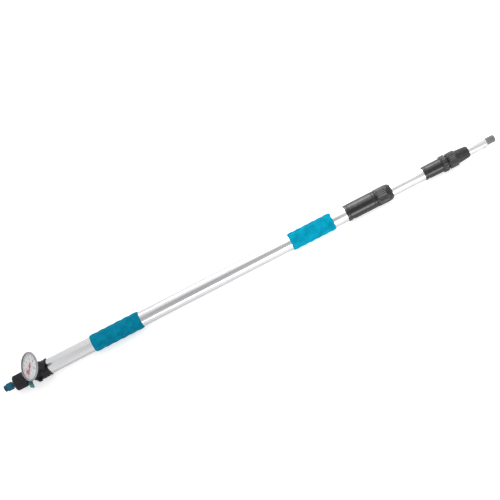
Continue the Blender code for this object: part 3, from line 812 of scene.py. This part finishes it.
def build_lower_clamp():
    """Fixed sleeve on the outer tube, and the ribbed collar that turns on it."""
    start, end = span("lower_clamp_sleeve")
    step, taper = 905.3, 948.0         # where the bore narrows, and where it flares again
    sleeve = rounded([
        (start, 17.8), (start, 18.4), (start + 1.0, 19.2), (start + 5.5, 19.2),
        (start + 6.1, 18.8), (start + 7.1, 18.8), (start + 7.7, 19.2), (932.0, 19.2),
        (932.6, 18.7), (933.8, 18.7), (934.4, 19.2), (937.4, 19.2), (938.0, 18.7),
        (938.0, 17.3), (end, 17.3), (end, 16.8), (taper, 14.8), (step, 14.8),
        (step, 17.8)], 0.4)
    holes = rivet_holes("lower", LOWER_RIVETS, 16.0, 21.0)
    fixed = lathe("lower_sleeve", densify(sleeve, start, 932.0, 6.0), "clamp_plastic",
                  sides=128)
    sculpt(fixed, cuts=holes)
    place_on(fixed, "outer_pole", "lower_clamp_sleeve")

    start, end = span("lower_collar")
    chamber_end = 971.4
    collar = rounded([
        (start, 17.6), (start, 18.9), (start + 0.8, 19.6), (start + 28.5, 19.7),
        (start + 34.5, 18.6), (start + 38.0, 16.7), (end, 15.6),
        *collar_mouth(end, 14.95, 16.2, 973.7, 976.8), (chamber_end, 14.95),
        (chamber_end, 17.6)], 0.5)
    relief = ribs(32, 0.75, start + 2.5, start + 27.5, 19.0, sharpness=0.8)
    turning = lathe("lower_nut", densify(collar, start, end, 1.2), "clamp_plastic",
                    sides=FINE + 16, relief=relief)
    place_on(turning, "lower_twist", "lower_collar")


def build_upper_clamp():
    """Sleeve with its ribbed ring on the middle tube, and the fluted collar."""
    start, end = span("upper_clamp_sleeve")
    step, taper = 1098.3, 1131.0       # where the bore narrows, and where it flares again
    ring_start, ring_end = 1106.0, 1117.3
    sleeve = rounded([
        (start, 14.8), (start, 15.3), (start + 0.9, 16.0), (start + 5.0, 16.0),
        (start + 5.6, 15.6), (start + 6.6, 15.6), (start + 7.2, 16.0), (1105.4, 16.2),
        (ring_start, 19.4), (ring_end, 19.4), (1117.9, 18.9), (1117.9, 14.7), (end, 14.7),
        (end, 13.8), (taper, 11.8), (step, 11.8), (step, 14.8)], 0.45)
    holes = rivet_holes("upper", UPPER_RIVETS, 13.3, 18.0)
    outline = densify(sleeve, start, 1118.0, 1.5)
    relief = ribs(24, 0.7, ring_start, 1117.5, 18.8, sharpness=1.0)
    fixed = lathe("upper_sleeve", outline, "clamp_plastic", sides=192, relief=relief)
    sculpt(fixed, cuts=holes)
    place_on(fixed, "mid_pole", "upper_clamp_sleeve")

    start, end = span("upper_collar")
    chamber_end, neck_end = 1140.7, 1150.6
    collar = rounded([
        (start, 15.0), (start, 17.7), (start + 0.8, 18.4), (start + 20.4, 18.4),
        (start + 21.4, 17.4), (start + 21.4, 15.7), (1152.0, 15.1), (1165.0, 14.0),
        (1171.0, 13.2), (end, 12.4), *collar_mouth(end, 11.95, 12.9, 1165.7, 1168.8),
        (neck_end, 11.95), (neck_end, 13.9), (chamber_end, 13.9), (chamber_end, 15.0)], 0.5)
    knurl = ribs(28, 0.8, start + 2.0, start + 20.0, 17.0, sharpness=0.8)
    flutes = ribs(14, 0.55, start + 23.5, end - 4.5, 13.2, sharpness=2.0)

    def relief(along, radius, angle):
        return flutes(along, knurl(along, radius, angle), angle)

    turning = lathe("upper_nut", densify(collar, start, end, 1.2), "clamp_plastic",
                    sides=FINE + 40, relief=relief)
    place_on(turning, "upper_twist", "upper_collar")


def build_rivet(node, body):
    """Domed blind rivet with its pulled stem in the middle."""
    low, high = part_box(node)
    side = -1 if high.y < 0.0 else 1
    inner, outer = sorted((abs(low.y) / MM, abs(high.y) / MM))
    seat = outer - 0.8
    outline = [(inner, 0.0), (inner, 1.35), (seat, 1.35), (seat, 2.45), (seat + 0.3, 2.35),
               (seat + 0.62, 1.7), (outer, 0.95), (outer, 0.8), (outer - 0.35, 0.7),
               (outer - 0.35, 0.0)]
    rivet = lathe(node.replace("rivet", "blind_rivet"), rounded(outline, 0.2), "steel",
                  across(station(node), side), sides=40)
    place_on(rivet, body, node)


# ---------------------------------------------------------------- brush end


def build_brush_end():
    """Grey end fitting with shallow thread rings where the brush pushes on."""
    start, end = span("brush_fitting")
    shoulder = end - 22.2
    thread_start, thread_end, pitch, depth = shoulder + 6.0, end - 5.0, 2.6, 0.4
    plug_radius, bore, radius = 10.0, 5.0, 8.55
    skin = [(shoulder, plug_radius), (shoulder, radius), (thread_start, radius)]
    steps = 60
    for step in range(1, steps):
        along = thread_start + (thread_end - thread_start) * step / steps
        wave = 0.5 - 0.5 * math.cos(2 * math.pi * (along - thread_start) / pitch)
        skin.append((along, radius - depth * wave))
    skin += [(thread_end, radius), (end - 3.2, 8.5), (end - 1.3, 8.0), (end - 0.3, 7.0),
             (end, 6.3), (end, bore)]
    inside = [(start, bore), (start, 9.4), (start + 0.6, plug_radius),
              (start + 5.0, plug_radius), (start + 5.0, 8.5), (start + 8.0, 8.5),
              (start + 8.0, plug_radius)]
    fitting = lathe("fitting", [*inside, *skin], "fitting_plastic", sides=112)
    sculpt(fitting, cuts=rivet_holes("fitting", FITTING_RIVETS, 7.2, 12.0))
    place_on(fitting, "inner_pole", "brush_fitting")


# ---------------------------------------------------------------- CAD nodes that stay

INNER_FINISH = {
    "plug_washer": "rubber", "inlet_strainer": "steel", "seat_retainer": "black_plastic",
    "ball_seat_inlet": "white_plastic", "ball_seat_outlet": "white_plastic",
    "valve_ball": "brass", "valve_spindle": "brass", "spindle_o_ring": "rubber",
    "tube_o_ring_front": "rubber", "tube_o_ring_rear": "rubber",
    "gauge_capsule": "brass", "pointer_arbor": "brass", "gauge_sector": "brass",
    "lower_collet": "white_plastic", "lower_thrust_ring": "steel", "lower_wiper": "rubber",
    "upper_collet": "white_plastic", "upper_thrust_ring": "steel", "upper_wiper": "rubber",
    "mid_piston": "white_plastic", "mid_piston_seal": "rubber",
    "inner_piston": "white_plastic", "inner_piston_seal": "rubber",
    "fitting_o_ring": "rubber",
}


def finish_inner_nodes():
    """Give each CAD node that is kept its procedural material."""
    for node, material in INNER_FINISH.items():
        mesh = frame["nodes"][node].data
        mesh.materials.clear()
        mesh.materials.append(MATERIALS[material])


# ---------------------------------------------------------------- studio


ROOM_BRIGHTNESS = 1.12
PANEL_BRIGHTNESS = 0.84
WINDOW_BRIGHTNESS = 4.4

FLOOR_HALF_SIZE = 30.0
FLOOR_GLOW = 0.44              # lifts the soft shadow under the pole towards white
FLOOR_FADE = (0.20, 0.65)      # X of the greyer floor's end, and of the white floor's start
FLOOR_SHADES = (0.70, 0.96)

STRIP_ELEVATION = 66.0         # degrees above the horizon, on the -Y side
STRIP_HALF_WIDTH = 46.0        # degrees from the strip's middle to its edge
STRIP_CORE = 12.0              # half width of its darkest part

# Places in the studio, by the X component of the direction they lie in.
WINDOW_START, WINDOW_END = (0.02, 0.07), (0.14, 0.18)
PANEL_START, PANEL_END = (-0.45, -0.30), (-0.18, 0.03)
STRIP_START = (-0.160, -0.115)
STRIP_FADE = (-0.08, 0.24)
STRIP_DEPTHS = (0.54, 0.26)    # how much the strip darkens at the two ends of its fade
WINDOW_STRIP_DEPTH = 0.50      # and how much more where it crosses the window

LIGHT_AIM = Vector((0.5, 0.0, 0.0))
SOFTBOXES = (                  # name, position, size in metres, power in watts
    ("key_light", (0.9, 2.2, 1.5), (1.8, 1.2), 27.0),
    ("front_light", (0.9, -2.4, 0.75), (1.8, 0.8), 15.0),
)


def build_studio():
    """White floor with soft light all round.

    The floor is a shade greyer towards the hose end, where the tube mirrors it. It glows
    only as seen directly, so the glow doesn't light the object.
    """
    mesh_data = bmesh.new()
    bmesh.ops.create_grid(mesh_data, x_segments=1, y_segments=1, size=FLOOR_HALF_SIZE)
    mesh = bpy.data.meshes.new("floor")
    mesh_data.to_mesh(mesh)
    mesh_data.free()
    shader = Shader("floor", (0.96, 0.96, 0.96), 0.9)
    spot = shader.node("ShaderNodeSeparateXYZ")
    shader.link(shader.node("ShaderNodeTexCoord").outputs["Object"], spot.inputs["Vector"])
    paleness = shader.ramp(spot.outputs["X"], *FLOOR_FADE, *FLOOR_SHADES)
    shader.link(paleness, shader.bsdf.inputs["Base Color"])
    seen = shader.node("ShaderNodeLightPath").outputs["Is Camera Ray"]
    shader.set("Emission Color", (1.0, 1.0, 1.0, 1.0))
    shader.link(shader.ramp(seen, 0.0, 1.0, 0.0, FLOOR_GLOW),
                shader.bsdf.inputs["Emission Strength"])
    mesh.materials.append(shader.material)
    floor = add_to_scene(bpy.data.objects.new("floor", mesh))

    build_world()
    for name, position, size, power in SOFTBOXES:
        add_softbox(name, position, size, power)


def build_world():
    """White studio with a grey panel over the hose end and a dark strip overhead.

    The strip, the panel and a bright window have fixed places in the room. The tubes
    mirror them as the line along their crest and the greyer lower section, and the lower
    clamp as its bright sides.
    """
    world = bpy.data.worlds.new("studio")
    bpy.context.scene.world = world
    world.use_nodes = True
    tree = world.node_tree
    background = tree.nodes["Background"]

    def ramp(source, low, high, low_value, high_value):
        """Smooth step of a factor between two limits, from one value to another."""
        node = tree.nodes.new("ShaderNodeMapRange")
        node.interpolation_type = "SMOOTHSTEP"
        for socket, value in (("From Min", low), ("From Max", high),
                              ("To Min", low_value), ("To Max", high_value)):
            node.inputs[socket].default_value = value
        tree.links.new(source, node.inputs["Value"])
        return node.outputs["Result"]

    def combine(operation, *values):
        """Math node whose inputs are numbers or other nodes' outputs."""
        node = tree.nodes.new("ShaderNodeMath")
        node.operation = operation
        for socket, value in zip(node.inputs, values):
            if isinstance(value, float):
                socket.default_value = value
            else:
                tree.links.new(value, socket)
        return node.outputs["Value"]

    direction = tree.nodes.new("ShaderNodeTexCoord").outputs["Generated"]
    parts = tree.nodes.new("ShaderNodeSeparateXYZ")
    tree.links.new(direction, parts.inputs["Vector"])
    along = parts.outputs["X"]
    facing = tree.nodes.new("ShaderNodeVectorMath")
    facing.operation = "DOT_PRODUCT"
    height = math.radians(STRIP_ELEVATION)
    facing.inputs[1].default_value = (0.0, -math.cos(height), math.sin(height))
    tree.links.new(direction, facing.inputs[0])

    window = combine("MULTIPLY", ramp(along, *WINDOW_START, 0.0, 1.0),
                     ramp(along, *WINDOW_END, 1.0, 0.0))
    panel = combine("MAXIMUM", ramp(along, *PANEL_END, PANEL_BRIGHTNESS, ROOM_BRIGHTNESS),
                    ramp(along, *PANEL_START, ROOM_BRIGHTNESS, PANEL_BRIGHTNESS))
    brightness = combine("MULTIPLY_ADD", window, WINDOW_BRIGHTNESS - ROOM_BRIGHTNESS, panel)
    darkness = ramp(facing.outputs["Value"], math.cos(math.radians(STRIP_HALF_WIDTH)),
                    math.cos(math.radians(STRIP_CORE)), 0.0, 1.0)
    starts = ramp(along, *STRIP_START, 0.0, 1.0)
    depth = combine("MULTIPLY_ADD", window, WINDOW_STRIP_DEPTH,
                    ramp(along, *STRIP_FADE, *STRIP_DEPTHS))
    shade = combine("MULTIPLY", darkness, combine("MULTIPLY", starts, depth))
    strength = combine("MULTIPLY", brightness, combine("SUBTRACT", 1.0, shade))
    # Seen directly, behind the floor's edge, the studio is plain white.
    seen = tree.nodes.new("ShaderNodeLightPath").outputs["Is Camera Ray"]
    backdrop = combine("MULTIPLY", seen, ROOM_BRIGHTNESS)
    tree.links.new(combine("MAXIMUM", strength, backdrop), background.inputs["Strength"])
    background.inputs["Color"].default_value = (1.0, 1.0, 1.0, 1.0)


def add_softbox(name, position, size, power):
    """Rectangular light that faces the middle of the pole."""
    light = bpy.data.lights.new(name, "AREA")
    light.shape = "RECTANGLE"
    light.size, light.size_y = size
    light.energy = power
    lamp = bpy.data.objects.new(name, light)
    lamp.location = position
    aim = LIGHT_AIM - Vector(position)
    lamp.rotation_euler = aim.to_track_quat("-Z", "Y").to_euler()
    add_to_scene(lamp)


CAMERA_DISTANCE = 2.5
CAMERA_ELEVATION = math.radians(66.0)
CAMERA_ROLL = math.radians(27.2)
FOCAL_LENGTH = 79.85
CAMERA_RAISED = 0.0297         # how far the pole's middle sits below the frame's centre
AIM_SHARE = 0.501              # how far along the collapsed pole the camera looks


def build_camera():
    """Look down on the pole, rolled so that it rises to the upper right."""
    low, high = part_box("outer_tube")
    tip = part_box("brush_fitting")[1].x
    centre = Vector((POLE_START + AIM_SHARE * (tip - POLE_START), 0.0,
                     (low.z + high.z) / 2))
    towards = Vector((0.0, -math.cos(CAMERA_ELEVATION), math.sin(CAMERA_ELEVATION)))
    level_right = Vector((1.0, 0.0, 0.0))
    level_up = towards.cross(level_right)
    right = level_right * math.cos(CAMERA_ROLL) - level_up * math.sin(CAMERA_ROLL)
    up = level_right * math.sin(CAMERA_ROLL) + level_up * math.cos(CAMERA_ROLL)
    camera_data = bpy.data.cameras.new("camera")
    camera_data.lens = FOCAL_LENGTH
    camera_data.clip_start = 0.05
    camera = bpy.data.objects.new("camera", camera_data)
    turn = Matrix((right, up, towards)).transposed().to_4x4()
    position = centre + towards * CAMERA_DISTANCE + up * CAMERA_RAISED
    camera.matrix_world = Matrix.Translation(position) @ turn
    add_to_scene(camera)
    bpy.context.scene.camera = camera
    bpy.context.scene.view_settings.view_transform = "Standard"


RIVETS = {                     # each rivet's body
    "lower_rivet_near": "outer_pole", "lower_rivet_far": "outer_pole",
    "upper_rivet_near": "mid_pole", "upper_rivet_far": "mid_pole",
    "fitting_rivet_near": "inner_pole", "fitting_rivet_far": "inner_pole",
}

build_camera()
build_studio()
build_hose_end()
build_housing()
build_drain_plug()
build_knob()
build_gauge()
build_tube("outer_tube", 1.5, "outer_pole", holes=(SOCKET_SCREWS, LOWER_RIVETS))
build_tube("mid_tube", 1.2, "mid_pole", holes=(UPPER_RIVETS,))
build_tube("inner_tube", 1.2, "inner_pole", holes=(FITTING_RIVETS,))
build_grip("lower_grip", "lower_foam_painted_shade")
build_grip("upper_grip", "upper_foam")
build_lower_clamp()
build_upper_clamp()
for rivet_node, rivet_body in RIVETS.items():
    build_rivet(rivet_node, rivet_body)
build_tube_screws()
build_brush_end()
finish_inner_nodes()
